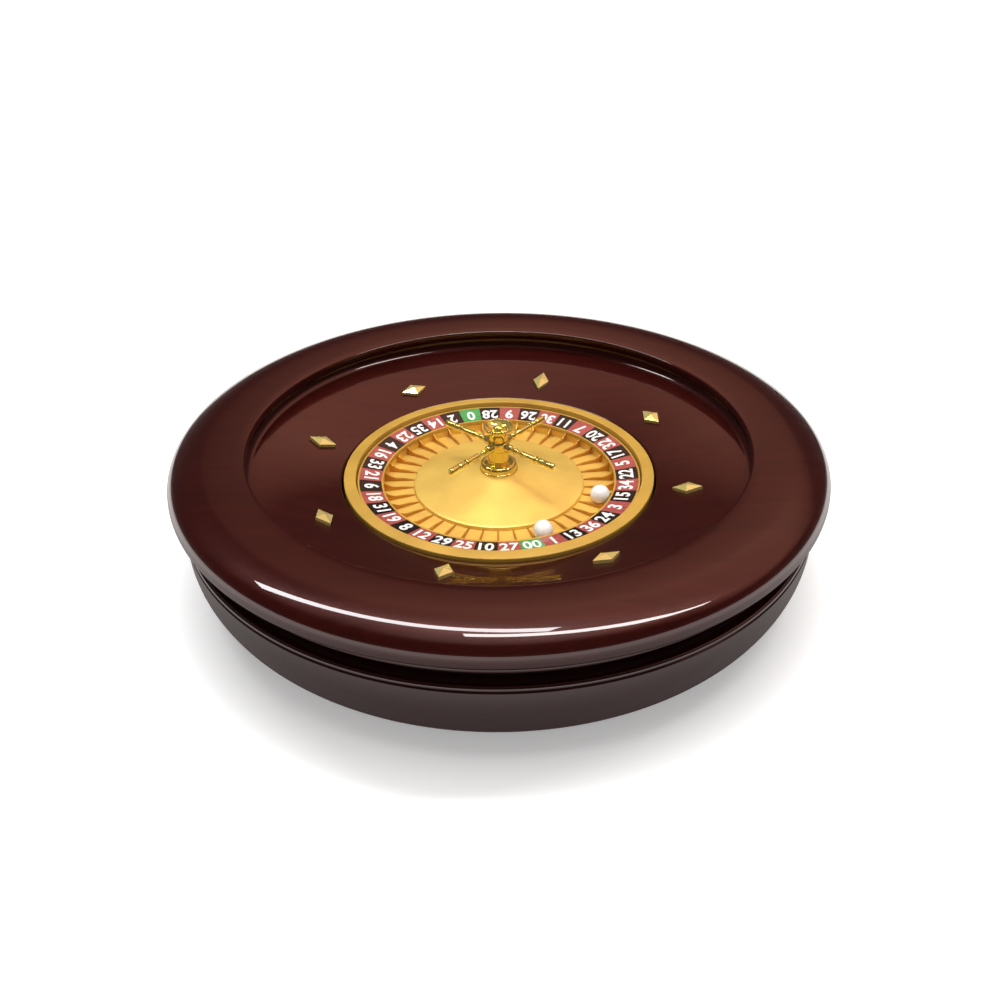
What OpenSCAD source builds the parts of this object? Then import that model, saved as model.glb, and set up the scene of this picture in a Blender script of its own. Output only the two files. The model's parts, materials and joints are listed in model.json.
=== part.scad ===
// Turned mahogany roulette wheel: a bowl with rim, ball track and apron, a gold rotor with
// thirty eight pockets on ball bearings, a brass turret with four arms, and two loose balls.
// Millimetres, +Z up, origin under the centre of the base; angle 0 is +X, seen from above.

/* [Bowl] */
// outer diameter of the whole wheel over the rim
wheel_d = 500; // [470:5:560]
// height of the rim top above the table
rim_top_h = 115; // [108:0.5:125]
// width of the rim from its outer edge to the lip
rim_w = 58.4; // [54:0.2:64]
// distance from the outer edge in to the shoulder of the rim
shoulder_in = 28; // [25:0.5:32]
// fall of the crown from the shoulder to the lip edge
crown_fall = 1.5; // [0:0.1:4]
// radius of the rolled nose of the rim
nose_r = 12; // [9:0.5:13]
// radius of the shoulder above the nose
shoulder_r = 48; // [36:1:60]
// height of the top of the lower bowl
bowl_top_h = 72; // [66:0.5:74]
// distance from the outer edge in to the side of the lower bowl
bowl_in = 8.5; // [6:0.5:14]
// radius of the turned side of the lower bowl
bowl_side_r = 60; // [45:1:66]
// thickness of the baize disc under the bowl
baize_t = 3; // [1.5:0.5:4]
// distance from the foot of the bowl in to the edge of the baize
baize_in = 6.9; // [2:0.1:20]
// height by which the foot cuts the arc of the side off
foot_cut = 2; // [1:0.5:6]
// distance from the outer edge in to the dark reveal between the rim and the lower bowl
reveal_in = 21; // [17:0.5:26]
// radius of the thin bead that edges the reveal, above and below
bead_r = 2.4; // [1.5:0.1:3]

/* [Ball track and apron] */
// height of the underside of the rim lip
lip_under_h = 107.5; // [105:0.5:109]
// radius of the concave ball track
track_r = 8.5; // [8:0.1:9.5]
// distance from the lip in to the middle of the ball track
track_in = 2.8; // [2:0.1:4]
// width of the flat step between the ball track and the apron
track_step_w = 1.8; // [1:0.1:3]
// width of the turned ring that carries the ball track
track_ring_w = 19; // [17:0.5:21]
// height of the apron where it meets the ball track
apron_top_h = 94.5; // [92:0.5:97]
// height of the apron at its inner edge
apron_low_h = 81.5; // [79:0.5:82.5]
// gap between the rotor edge and the apron
rotor_gap = 1.8; // [1:0.1:4]
// gap between the rotor edge and the wall of the well it turns in
well_gap = 3.3; // [2:0.1:8]
// height of the floor of the well
well_floor_h = 30; // [24:1:34]

/* [Deflectors] */
// number of brass deflectors on the apron, every second one set crosswise
deflector_count = 8; // [4:2:12]
// share of the apron's width from its inner edge out to the deflectors
deflector_share = 0.38; // [0.3:0.01:0.6]
// depth by which a deflector is let into the apron
deflector_sink = 0.2; // [0.1:0.05:0.5]
// turn of the first deflector from +X
deflector_turn = -15; // [-22:1:22]
// length of a deflector
deflector_l = 22.5; // [16:0.5:28]
// width of a deflector
deflector_w = 13.5; // [8:0.5:16]
// height of a deflector over the apron
deflector_h = 4.8; // [3.5:0.1:6]
// height of the straight edge of a deflector
deflector_edge = 2.8; // [1:0.1:3.2]
// diameter of the pin under a deflector
deflector_pin_d = 3; // [2:0.1:4]
// length of the pin under a deflector
deflector_pin_l = 7; // [4:0.5:9]

/* [Rotor] */
// diameter of the rotor over the gold rim
rotor_d = 241.4; // [236:0.2:246]
// height of the outer edge of the gold rim
rotor_h = 83; // [80:0.5:86]
// width of the gold rim
gold_rim_w = 9.5; // [8:0.1:10]
// crown of the gold rim above its outer edge
gold_rim_crown = 0.8; // [0.3:0.1:1.5]
// width of the groove between the gold rim and the number ring
ring_groove = 0.9; // [0.5:0.1:1.5]
// width of the number band between its two gold lines
band_w = 17; // [15:0.1:18]
// width of the thin gold line on both edges of the number band
line_w = 1.5; // [0.8:0.1:2]
// height of the thin gold lines over the band
line_h = 0.35; // [0.2:0.05:0.6]
// depth of the outer edge of the number band under the gold rim edge
band_out_drop = 3.4; // [2:0.1:5]
// depth of the inner edge of the number band under the gold rim edge
band_in_drop = 5.9; // [4:0.1:7]
// number of pockets
pocket_count = 38; // [37:1:38]
// direction of the middle of pocket seventeen
pocket_turn = 18.25; // [0:0.25:36]
// depth of the pocket floor at the wall, under the gold rim edge
floor_out_drop = 15; // [14:0.1:17]
// depth of the pocket floor at the cone
floor_in_drop = 13.2; // [12:0.1:14]
// thickness of the frets between the pockets
fret_t = 1.2; // [0.8:0.1:1.6]
// height of a fret at the pocket wall
fret_h_out = 7.4; // [6:0.1:8]
// height of a fret where the ball lies
fret_h_mid = 2.8; // [2:0.1:3]
// height of a fret at the cone
fret_h_in = 0.8; // [0.5:0.1:1.5]
// width of the pocket floor from its wall to the cone
pocket_w = 24.2; // [20:0.2:28]
// depth of the cone edge under the gold rim edge
cone_edge_drop = 10.5; // [9:0.1:12]
// height of the cone top over the gold rim edge
cone_rise = 1; // [0:0.1:3]
// thickness of the wooden rotor disc
disc_t = 20; // [14:1:22]

/* [Turret] */
// radius of the foot of the turret
turret_foot_r = 15; // [12:0.5:17]
// radius of the stem
stem_r = 7.9; // [6.5:0.1:9]
// height of the arms over the gold rim edge
arm_rise = 22.5; // [20:0.5:26]
// reach of the arms from the axis
arm_reach = 55; // [48:0.5:60]
// turn of the first arm from +X
arm_turn = 49; // [0:1:90]
// number of turret arms
arm_count = 4; // [4:1:4]
// radius of the end barrel of an arm
arm_end_r = 2.7; // [2:0.1:3.2]
// radius of the cup on the turret
cup_r = 11.3; // [10:0.1:13]
// height of the cup edge over the gold rim edge
cup_rise = 39; // [37:0.5:44]
// radius of the rod through the turret
rod_r = 4; // [3:0.5:5]

/* [Bearings and spindle] */
// diameter of the spindle
spindle_d = 12; // [10:1:12]
// outside diameter of a ball bearing
bearing_d = 32; // [30:1:34]
// width of a ball bearing
bearing_w = 10; // [8:0.5:10]
// number of balls in a bearing
bearing_balls = 8; // [6:1:9]
// diameter of the balls in a bearing
bearing_ball_d = 3.4; // [3:0.1:3.6]
// distance between the two bearings
bearing_gap = 8; // [6:0.5:8]
// radius of the flange that holds the spindle
spindle_flange_r = 30; // [26:1:34]
// thickness of that flange
spindle_flange_t = 6; // [4:0.5:6]
// number of screws in that flange
flange_screws = 3; // [3:1:3]

/* [Balls] */
// diameter of a loose ball
ball_d = 15; // [14:0.1:15]
// distance from the pocket wall in to the middle of a resting ball
ball_in = 8.7; // [8:0.1:12]
// pocket of the first ball, counted clockwise from pocket seventeen
ball_pocket_1 = 4; // [0:1:37]
// pocket of the second ball, counted clockwise from pocket seventeen
ball_pocket_2 = 9; // [0:1:37]
// gap kept between a resting ball and the pocket floor
ball_gap = 0.2; // [0.1:0.05:0.3]

/* [Hidden] */
$fn = 96;
eps = 0.02;
slip = 0.05;
wheel_r = wheel_d / 2;
opening_r = wheel_r - rim_w;
bowl_r = wheel_r - bowl_in;
rotor_r = rotor_d / 2;
well_r = rotor_r + well_gap;
shoulder_x = wheel_r - shoulder_in;
shoulder_z = rim_top_h - shoulder_r;
nose_x = wheel_r - nose_r;
nose_reach = shoulder_r - nose_r;
nose_z = shoulder_z + sqrt(nose_reach * nose_reach - (nose_x - shoulder_x) * (nose_x - shoulder_x));
rim_under_h = apron_low_h;
reveal_r = wheel_r - reveal_in;
bowl_side_x = bowl_r - bowl_side_r;
bowl_side_z = baize_t + bowl_side_r - foot_cut;
foot_r = bowl_side_x + sqrt(bowl_side_r * bowl_side_r - (bowl_side_z - baize_t) * (bowl_side_z - baize_t));
baize_r = foot_r - baize_in;
lip_round = 1.2;
bowl_bead_in = 0.4;
rim_bead_in = 0.6;
bead_step = 0.6;
bowl_bead_z = bowl_top_h - bead_r;
bowl_bead_x = bowl_r - bead_r - bowl_bead_in;
rim_bead_x = nose_x - rim_bead_in;
rim_bead_z = rim_under_h + bead_r;
track_x = opening_r - track_in;
track_lift = 0.8;
track_z = apron_top_h + track_lift + track_r;
track_in_r = track_x - track_step_w;
track_out_r = track_in_r + track_ring_w;
apron_in_r = rotor_r + rotor_gap;
apron_slope = atan((apron_top_h - apron_low_h) / (track_in_r - apron_in_r));
deflector_ring_r = apron_in_r + (track_in_r - apron_in_r) * deflector_share;
deflector_z = apron_low_h + (deflector_ring_r - apron_in_r) * tan(apron_slope);
diamond_turn = atan(deflector_w / deflector_l);
diamond_half_w = deflector_l / 2 * sin(diamond_turn);
pin_room = 0.3;
gold_in_r = rotor_r - gold_rim_w;
gold_edge = 0.5;
gold_round = 1.5;
gold_soft = 0.8;
number_out_r = gold_in_r - ring_groove;
band_out_r = number_out_r - line_w;
band_in_r = band_out_r - band_w;
number_in_r = band_in_r - line_w;
band_out_h = rotor_h - band_out_drop;
band_in_h = rotor_h - band_in_drop;
ring_t = 9;
pocket_ring_t = 18;
ring_seat_h = rotor_h - ring_t;
disc_top_h = rotor_h - pocket_ring_t;
disc_low_h = disc_top_h - disc_t;
disc_in = 2.2;
disc_r = rotor_r - disc_in;
wall_t = 3;
wall_under = 0.4;
wall_in_r = number_in_r + wall_under;
wall_out_r = wall_in_r + wall_t;
wall_gap = 0.2;
fret_root = 1;
fret_gap = 0.15;
fret_notch = 0.5;
cone_r = wall_in_r - pocket_w;
cone_gap = 0.1;
cone_edge_r = 0.6;
fret_in = 0.5;
ball_rest_r = wall_in_r - ball_in;
floor_out_h = rotor_h - floor_out_drop;
floor_in_h = rotor_h - floor_in_drop;
floor_slope = atan((floor_in_h - floor_out_h) / (wall_in_r - cone_r));
pitch = 360 / pocket_count;
bearing_drop = 3;
bearing_low_h = disc_low_h - bearing_drop;
bearing_high_h = bearing_low_h + bearing_w + bearing_gap;
race_gap = 4;
race_mid_r = (spindle_d + bearing_d) / 4;
race_in_r = race_mid_r - race_gap / 2;
race_out_r = race_mid_r + race_gap / 2;
race_groove_r = bearing_ball_d / 2 + 0.6;
cage_bar = 1.5;
housing_wall = 4;
housing_r = bearing_d / 2 + housing_wall;
housing_flange_w = 14;
housing_flange_t = 4;
housing_flange_r = housing_r + housing_flange_w;
nut_h = 4;
nut_r = 9.8;
nut_room = 1.5;
housing_cap_h = bearing_high_h + bearing_w + nut_h + nut_room;
housing_cap_t = 3;
housing_top_h = housing_cap_h + housing_cap_t;
housing_cut_h = disc_low_h - housing_flange_t - 1;
foot_recess_r = 16;
foot_recess_h = 12;
spindle_foot_h = 6;
screw_r = 2;
screw_l = 12;
screw_in = 8;
screw_room = 2;
screw_head_r = 3.8;
screw_head_h = 2.6;
screw_head_cut = 1;
spacer_in = 0.8;
turret_z = rotor_h + cone_rise;
foot_h = 7.6;
foot_skirt_h = 1.6;
foot_ring_r = 2.6;
foot_ring_in = 3.4;
foot_ring_z = turret_z + 4;
foot_rise = 1.4;
stem_seat = 2.6;
stem_low_h = turret_z + foot_h - stem_seat;
stem_land = 2;
stem_waist = 0.5;
collar_w = 0.9;
collar_below = 3.8;
collar_above = 4;
arm_z = rotor_h + arm_rise;
collar_low_h = arm_z - collar_below;
collar_high_h = arm_z + collar_above;
boss_root = 1;
boss_l = 8.5;
boss_r = 3.7;
boss_tip_r = 3.1;
arm_core_r = 1.6;
arm_bead_r = 2.5;
arm_waist_r = 1.5;
barrel_r = 2.5;
barrel_tip_r = 2.05;
arm_soft = 0.8;
arm_ring_share = 0.66;
cup_top_h = rotor_h + cup_rise;
cup_side_h = 9.5;
cup_flare_add = 2.4;
cup_neck_in = 0.7;
cup_dish_r = 13.5;
cup_dish_rise = 9;
finial_r = 5.6;
finial_seat = 4.3;
finial_sink = 0.9;
rod_gap = 0.5;
ball_r = ball_d / 2;
ball_h = floor_out_h + (wall_in_r - ball_rest_r) * tan(floor_slope) + (ball_r + ball_gap) / cos(floor_slope);
wood = [0.32, 0.09, 0.07];
dark = [0.08, 0.04, 0.04];
gold = [0.86, 0.66, 0.27];
brass = [0.9, 0.76, 0.36];
steel = [0.7, 0.71, 0.73];
ivory = [0.96, 0.95, 0.9];
green = [0.1, 0.22, 0.14];

// every separate piece, by name
// piece to draw

// turned ring of rectangular section
module ring(r_in, r_out, z_low, z_high) {
  rotate_extrude() translate([r_in, z_low]) square([r_out - r_in, z_high - z_low]);
}

// place something on a circle around the axis
module at(angle, radius, height) {
  rotate([0, 0, angle]) translate([radius, 0, height]) children();
}

module baize() {
  color(green) cylinder(h = baize_t, r = baize_r);
}

// side of the lower bowl: a turned arc up to a fine step, and a bead above it
module bowl_section() {
  side_top = bowl_bead_z - bead_r + bead_step;
  difference() {
    union() {
      intersection() {
        translate([bowl_side_x, bowl_side_z]) circle(r = bowl_side_r);
        translate([bowl_side_x - 1, baize_t]) square([bowl_side_r + 2, side_top - baize_t]);
      }
      translate([0, baize_t]) square([bowl_side_x, bowl_top_h - baize_t]);
      translate([bowl_side_x - 1, bowl_side_z])
        square([bowl_bead_x - bowl_side_x + 1, bowl_top_h - bowl_side_z]);
      translate([bowl_bead_x, bowl_bead_z]) circle(r = bead_r);
    }
    translate([0, well_floor_h]) square([well_r, bowl_top_h]);
  }
}

module bowl() {
  color(wood) difference() {
    rotate_extrude() bowl_section();
    translate([0, 0, baize_t - 1]) cylinder(h = foot_recess_h + 1, r = foot_recess_r);
    translate([0, 0, baize_t]) cylinder(h = well_floor_h, d = spindle_d + 2 * slip);
    for (i = [0 : flange_screws - 1])
      at(i * 360 / flange_screws, spindle_flange_r - screw_in, well_floor_h - screw_l - screw_room)
        cylinder(h = screw_l + screw_room + 1, r = screw_r + slip);
  }
}

module reveal_ring() {
  color(dark) ring(track_out_r, reveal_r, bowl_top_h, rim_under_h);
}

// rim: crowned top, wide shoulder, rolled nose, small bead under it, lip over the track
module rim_section() {
  difference() {
    union() {
      intersection() {
        translate([shoulder_x, shoulder_z]) circle(r = shoulder_r);
        polygon([
          [shoulder_x, shoulder_z],
          [shoulder_x, rim_top_h + 1],
          [shoulder_x + shoulder_r, rim_top_h + 1],
          [
            nose_x + nose_r * (nose_x - shoulder_x) / nose_reach,
            nose_z + nose_r * (nose_z - shoulder_z) / nose_reach
          ]
        ]);
      }
      translate([nose_x, nose_z]) circle(r = nose_r);
      translate([rim_bead_x, rim_bead_z]) circle(r = bead_r);
      polygon([
        [opening_r, rim_under_h],
        [rim_bead_x, rim_under_h],
        [rim_bead_x, rim_bead_z],
        [nose_x, nose_z],
        [shoulder_x + eps, rim_top_h - eps / 2],
        [shoulder_x, rim_top_h],
        [opening_r + lip_round, rim_top_h - crown_fall],
        [opening_r, rim_top_h - crown_fall - lip_round]
      ]);
    }
    translate([opening_r - 1, rim_under_h - 1])
      square([track_out_r - opening_r + 1, lip_under_h - rim_under_h + 1]);
    translate([opening_r - 1, rim_under_h - shoulder_r]) square([rim_bead_x - opening_r + 1, shoulder_r]);
  }
}

module rim() {
  color(wood) rotate_extrude() rim_section();
}

module ball_track() {
  color(wood) rotate_extrude() difference() {
    translate([track_in_r, bowl_top_h]) square([track_ring_w, lip_under_h - bowl_top_h]);
    translate([track_x, track_z]) circle(r = track_r);
    translate([track_in_r - 1, track_z - track_r]) square([track_step_w + 1, 3 * track_r]);
    translate([track_x, track_z]) square([track_r * 0.8, track_r]);
  }
}

module apron() {
  color(wood) difference() {
    rotate_extrude() polygon([
      [apron_in_r, bowl_top_h],
      [track_in_r, bowl_top_h],
      [track_in_r, apron_top_h],
      [apron_in_r, apron_low_h]
    ]);
    for (i = [0 : deflector_count - 1])
      deflector_place(i) {
        translate([0, 0, -deflector_pin_l - pin_room])
          cylinder(h = deflector_pin_l + 1, r = deflector_pin_d / 2 + slip);
        linear_extrude(deflector_edge) intersection() {
          rotate(diamond_turn) square([2 * deflector_l, 2 * (diamond_half_w + slip)], center = true);
          rotate(-diamond_turn) square([2 * deflector_l, 2 * (diamond_half_w + slip)], center = true);
        }
      }
  }
}

// one deflector lies on the slope of the apron, let in a little, every second one crosswise
module deflector_place(i) {
  at(deflector_turn + i * 360 / deflector_count, deflector_ring_r, deflector_z)
    rotate([0, -apron_slope, 0]) translate([0, 0, -deflector_sink]) rotate([0, 0, (i % 2) * 90]) children();
}

// one gable whose ridge runs along x; two of them crossed give the faceted diamond
module gable(half_w) {
  rotate([90, 0, 90]) translate([0, 0, -deflector_l]) linear_extrude(2 * deflector_l) polygon([
    [-half_w, 0],
    [half_w, 0],
    [half_w, deflector_edge],
    [0, deflector_h],
    [-half_w, deflector_edge]
  ]);
}

module deflector(i) {
  color(brass) deflector_place(i) union() {
    intersection() {
      rotate([0, 0, diamond_turn]) gable(diamond_half_w);
      rotate([0, 0, -diamond_turn]) gable(diamond_half_w);
    }
    translate([0, 0, -deflector_pin_l]) cylinder(h = deflector_pin_l + 1, d = deflector_pin_d);
  }
}

module spindle() {
  color(steel) {
    translate([0, 0, baize_t + spindle_foot_h])
      cylinder(h = bearing_high_h + bearing_w + nut_h - baize_t - spindle_foot_h, d = spindle_d);
    translate([0, 0, well_floor_h + spindle_flange_t])
      cylinder(h = bearing_low_h - well_floor_h - spindle_flange_t, r = race_in_r);
  }
}

module spindle_flange() {
  color(steel) difference() {
    translate([0, 0, well_floor_h]) cylinder(h = spindle_flange_t, r = spindle_flange_r);
    translate([0, 0, well_floor_h - 1]) cylinder(h = spindle_flange_t + 2, d = spindle_d + 2 * slip);
    for (i = [0 : flange_screws - 1])
      at(i * 360 / flange_screws, spindle_flange_r - screw_in, well_floor_h - 1)
        cylinder(h = spindle_flange_t + 2, r = screw_r + slip);
  }
}

module flange_screw(i) {
  shank_l = screw_l + spindle_flange_t;
  color(steel) at(i * 360 / flange_screws, spindle_flange_r - screw_in, well_floor_h - screw_l) difference() {
    union() {
      cylinder(h = shank_l, r = screw_r);
      translate([0, 0, shank_l]) cylinder(h = screw_head_h, r = screw_head_r);
    }
    translate([0, 0, shank_l + screw_head_cut]) cylinder(h = screw_head_h, r = screw_r, $fn = 6);
  }
}

// races with a shallow running groove
module inner_race(z) {
  color(steel) rotate_extrude() difference() {
    translate([spindle_d / 2 + slip, z]) square([race_in_r - spindle_d / 2 - slip, bearing_w]);
    translate([race_mid_r, z + bearing_w / 2]) circle(r = race_groove_r);
  }
}

module outer_race(z) {
  color(steel) rotate_extrude() difference() {
    translate([race_out_r, z]) square([bearing_d / 2 - slip - race_out_r, bearing_w]);
    translate([race_mid_r, z + bearing_w / 2]) circle(r = race_groove_r);
  }
}

module ball_cage(z) {
  color(steel) {
    ring(
      race_mid_r - cage_bar / 2, race_mid_r + cage_bar / 2,
      z + (bearing_w - cage_bar) / 2, z + (bearing_w + cage_bar) / 2
    );
    for (i = [0 : bearing_balls - 1])
      at(i * 360 / bearing_balls, race_mid_r, z + bearing_w / 2) sphere(d = bearing_ball_d, $fn = 32);
  }
}

module race_spacer() {
  color(steel) ring(spindle_d / 2 + slip, race_in_r - spacer_in, bearing_low_h + bearing_w, bearing_high_h);
}

module spindle_nut() {
  color(steel) difference() {
    translate([0, 0, bearing_high_h + bearing_w]) cylinder(h = nut_h, r = nut_r, $fn = 6);
    translate([0, 0, bearing_high_h + bearing_w - 1]) cylinder(h = nut_h + 2, d = spindle_d + 2 * slip);
  }
}

module rotor_disc() {
  color(wood) ring(housing_r + slip, disc_r, disc_low_h, disc_top_h);
}

// wooden ring on the disc that the number ring and the gold rim lie on
module seat_ring() {
  color(wood) ring(wall_out_r + wall_gap, disc_r, disc_top_h, ring_seat_h);
}

module gold_rim() {
  color(gold) rotate_extrude() polygon([
    [gold_in_r, ring_seat_h],
    [rotor_r, ring_seat_h],
    [rotor_r, rotor_h - gold_edge],
    [rotor_r - gold_edge, rotor_h],
    [rotor_r - gold_round, rotor_h + gold_rim_crown * 0.4],
    [gold_in_r + gold_soft, rotor_h + gold_rim_crown],
    [gold_in_r, rotor_h + gold_rim_crown - gold_soft]
  ]);
}

module number_ring() {
  color(gold) rotate_extrude() polygon([
    [number_in_r, ring_seat_h],
    [number_out_r, ring_seat_h],
    [number_out_r, band_out_h + line_h],
    [band_out_r, band_out_h + line_h],
    [band_out_r, band_out_h],
    [band_in_r, band_in_h],
    [band_in_r, band_in_h + line_h],
    [number_in_r, band_in_h + line_h]
  ]);
}

// pocket floor and wall with one fret between every two pockets
module pocket_ring() {
  color(gold) {
    rotate_extrude() polygon([
      [cone_r + cone_gap, disc_top_h],
      [wall_out_r, disc_top_h],
      [wall_out_r, ring_seat_h],
      [wall_in_r, ring_seat_h],
      [wall_in_r, floor_out_h],
      [cone_r + cone_gap, floor_in_h]
    ]);
    for (i = [0 : pocket_count - 1])
      rotate([0, 0, pocket_turn + (i + 0.5) * pitch]) fret();
  }
}

module fret() {
  mid_r = wall_in_r - ball_r - cone_edge_r;
  mid_floor = floor_out_h + (wall_in_r - mid_r) * tan(floor_slope);
  translate([0, fret_t / 2, 0]) rotate([90, 0, 0]) linear_extrude(fret_t) polygon([
    [cone_r + fret_in, floor_out_h - 1],
    [wall_in_r + fret_root, floor_out_h - 1],
    [wall_in_r + fret_root, ring_seat_h - fret_notch],
    [number_in_r - fret_gap, ring_seat_h - fret_notch],
    [number_in_r - fret_gap, floor_out_h + fret_h_out],
    [mid_r, mid_floor + fret_h_mid],
    [cone_r + fret_in, floor_in_h + fret_h_in]
  ]);
}

module cone() {
  color(gold) rotate_extrude() difference() {
    polygon([
      [rod_r + slip, disc_top_h],
      [cone_r, disc_top_h],
      [cone_r, rotor_h - cone_edge_drop - cone_edge_r],
      [cone_r - cone_edge_r, rotor_h - cone_edge_drop],
      [turret_foot_r + 1, turret_z],
      [rod_r + slip, turret_z]
    ]);
    translate([0, disc_top_h - 1]) square([housing_r + slip, housing_top_h - disc_top_h + 1]);
  }
}

module bearing_housing() {
  color(brass) rotate_extrude() difference() {
    union() {
      translate([0, bearing_low_h]) square([housing_r, housing_top_h - bearing_low_h]);
      translate([0, disc_low_h - housing_flange_t]) square([housing_flange_r, housing_flange_t]);
    }
    translate([0, housing_cut_h]) square([bearing_d / 2, bearing_low_h + bearing_w - housing_cut_h]);
    translate([0, bearing_high_h]) square([bearing_d / 2, housing_cap_h - bearing_high_h]);
    translate([0, housing_cut_h]) square([race_out_r + 1, housing_cap_h - housing_cut_h]);
    translate([0, housing_cap_h - 1]) square([rod_r + slip, housing_cap_t + 2]);
  }
}

module turret_rod() {
  color(steel) translate([0, 0, housing_cap_h + wall_gap])
    cylinder(h = cup_top_h - finial_seat - rod_gap - wall_gap - housing_cap_h, r = rod_r);
}

// foot: a low skirt, a rolled ring and a dish the stem stands in
module turret_foot() {
  color(brass) rotate_extrude() difference() {
    union() {
      translate([0, turret_z]) square([turret_foot_r, foot_skirt_h]);
      translate([0, turret_z]) square([turret_foot_r - foot_rise, foot_ring_z + 1 - turret_z]);
      translate([turret_foot_r - foot_ring_in, foot_ring_z]) circle(r = foot_ring_r);
      translate([0, foot_ring_z - 1]) square([turret_foot_r - foot_ring_in, foot_ring_r + 1]);
    }
    translate([0, turret_z - 1]) square([rod_r + slip, foot_h + 2]);
    translate([0, stem_low_h]) square([stem_r + slip, foot_h]);
    translate([stem_r, foot_ring_z + foot_ring_r + bead_step]) circle(r = foot_ring_r);
  }
}

module turret_stem() {
  color(brass) rotate_extrude() polygon([
    [rod_r + slip, stem_low_h],
    [stem_r, stem_low_h],
    [stem_r, stem_low_h + stem_seat + stem_land],
    [stem_r - stem_waist, collar_low_h],
    [rod_r + slip, collar_low_h]
  ]);
}

// collar with a short conical boss for each arm
module turret_collar() {
  color(brass) difference() {
    union() {
      translate([0, 0, collar_low_h]) cylinder(h = collar_high_h - collar_low_h, r = stem_r + collar_w);
      for (i = [0 : arm_count - 1])
        arm_place(i) translate([0, 0, rod_r + boss_root]) cylinder(h = boss_l, r1 = boss_r, r2 = boss_tip_r);
    }
    translate([0, 0, collar_low_h - 1]) cylinder(h = collar_high_h - collar_low_h + 2, r = rod_r + slip);
    for (i = [0 : arm_count - 1])
      arm_place(i) translate([0, 0, stem_r + 1]) cylinder(h = boss_l, r = arm_core_r + slip);
  }
}

module arm_place(i) {
  at(arm_turn + i * 360 / arm_count, 0, arm_z) rotate([0, 90, 0]) children();
}

// turned arm: root, bead, tapered barrel, ring, neck and end barrel
module arm(i) {
  root = stem_r + 1.2;
  bead_at = root + 8;
  barrel_at = bead_at + 2 * arm_bead_r;
  taper_at = barrel_at + barrel_tip_r;
  ring_at = arm_reach * arm_ring_share;
  end_at = ring_at + boss_tip_r + arm_soft;
  color(brass) arm_place(i) {
    translate([0, 0, root]) cylinder(h = end_at - root, r = arm_core_r);
    translate([0, 0, bead_at]) sphere(r = arm_bead_r, $fn = 48);
    translate([0, 0, barrel_at]) cylinder(h = taper_at - barrel_at, r1 = arm_waist_r, r2 = barrel_r);
    translate([0, 0, taper_at]) cylinder(h = ring_at - taper_at, r1 = barrel_r, r2 = barrel_tip_r);
    translate([0, 0, ring_at]) cylinder(h = arm_waist_r, r = arm_end_r + 0.2);
    translate([0, 0, end_at - arm_soft]) cylinder(h = arm_soft, r1 = arm_core_r, r2 = arm_end_r);
    translate([0, 0, end_at]) cylinder(h = arm_reach - end_at - arm_soft, r = arm_end_r);
    translate([0, 0, arm_reach - arm_soft]) cylinder(h = arm_soft, r1 = arm_end_r, r2 = arm_end_r - arm_soft);
  }
}

// cup: waisted neck, flared side, straight edge and a round dish
module turret_cup() {
  neck_r = stem_r - cup_neck_in;
  flare = cup_r - neck_r;
  color(brass) rotate_extrude() difference() {
    union() {
      translate([0, collar_high_h]) square([neck_r, cup_top_h - collar_high_h - 1]);
      difference() {
        translate([0, cup_top_h - cup_side_h]) square([cup_r, cup_side_h]);
        translate([cup_r + cup_flare_add, cup_top_h - cup_side_h]) circle(r = flare + cup_flare_add);
      }
    }
    translate([0, collar_high_h - 1]) square([rod_r + slip, cup_top_h]);
    translate([0, cup_top_h - finial_seat]) square([finial_r, finial_seat + 1]);
    translate([0, cup_top_h + cup_dish_rise]) circle(r = cup_dish_r);
  }
}

module turret_finial() {
  color(brass) rotate_extrude() intersection() {
    translate([0, cup_top_h - finial_seat]) square([finial_r, finial_r]);
    translate([0, cup_top_h - finial_seat - finial_sink]) circle(r = finial_r - slip);
  }
}

module ball(p) {
  color(ivory) at(pocket_turn - p * pitch, ball_rest_r, ball_h) sphere(d = ball_d, $fn = 64);
}

baize();
bowl();
reveal_ring();
rim();
ball_track();
apron();
deflector(0);  // deflector_1
deflector(1);  // deflector_2
deflector(2);  // deflector_3
deflector(3);  // deflector_4
deflector(4);  // deflector_5
deflector(5);  // deflector_6
deflector(6);  // deflector_7
deflector(7);  // deflector_8
spindle();
spindle_flange();
flange_screw(0);  // flange_screw_1
flange_screw(1);  // flange_screw_2
flange_screw(2);  // flange_screw_3
inner_race(bearing_low_h);  // lower_inner_race
inner_race(bearing_high_h);  // upper_inner_race
race_spacer();
spindle_nut();
rotor_disc();
seat_ring();
gold_rim();
number_ring();
pocket_ring();
cone();
bearing_housing();
outer_race(bearing_low_h);  // lower_outer_race
outer_race(bearing_high_h);  // upper_outer_race
turret_foot();
turret_stem();
turret_collar();
turret_cup();
turret_finial();
turret_rod();
arm(0);  // arm_1
arm(1);  // arm_2
arm(2);  // arm_3
arm(3);  // arm_4
ball_cage(bearing_low_h);  // lower_ball_cage
ball_cage(bearing_high_h);  // upper_ball_cage
ball(ball_pocket_1);  // ball_1
ball(ball_pocket_2);  // ball_2
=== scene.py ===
import json
from math import atan, cos, degrees, pi, radians, sin, sqrt

import bmesh
import bpy
from mathutils import Matrix, Vector


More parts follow.
